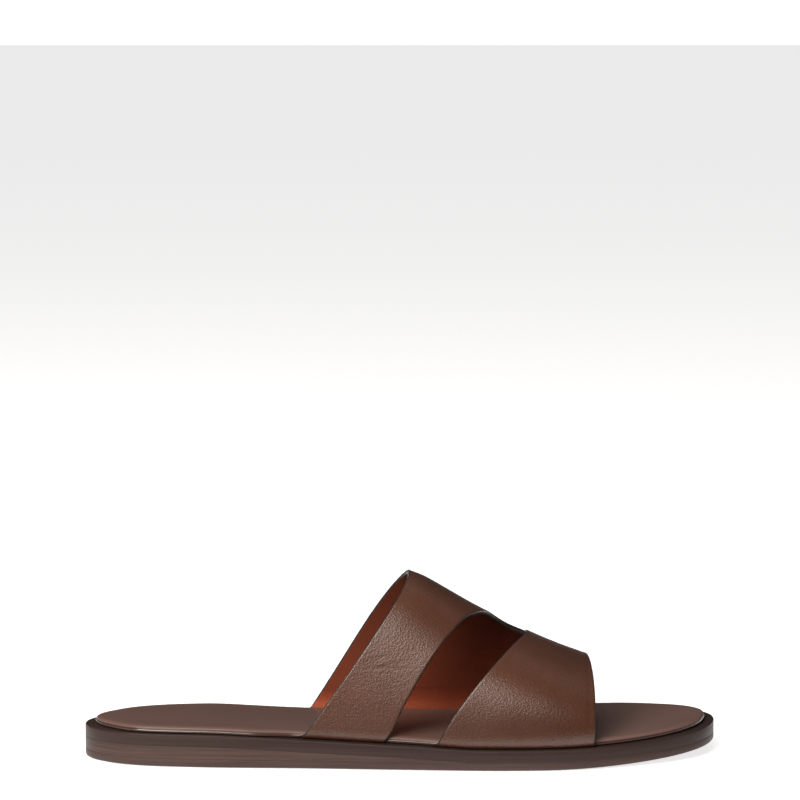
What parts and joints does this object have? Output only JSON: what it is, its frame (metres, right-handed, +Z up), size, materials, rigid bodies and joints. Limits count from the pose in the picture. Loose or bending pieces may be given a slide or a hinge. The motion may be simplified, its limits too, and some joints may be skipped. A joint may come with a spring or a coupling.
{
  "type": "slide slipper",
  "caption": "Leather slide slipper for the right foot, open at toe and heel: a broad upper with a curved cut-out in its outer side, on a low stacked sole.",
  "frame": {"origin": "on the floor, under the middle of the sole's length and width", "axes": "+X from heel to toe, +Y to the inner side, where the big toe is, +Z up"},
  "size_m": [0.284, 0.0972, 0.082],
  "materials": {
    "outsole": "satin",
    "heel_wedge": "satin",
    "midsole": "satin",
    "insole": "polished",
    "upper": "satin"
  },
  "bodies": {
    "root": {"outsole": "outsole", "heel_wedge": "heel_wedge", "midsole": "midsole", "insole": "insole", "upper": "upper"}
  },
  "joints": []
}
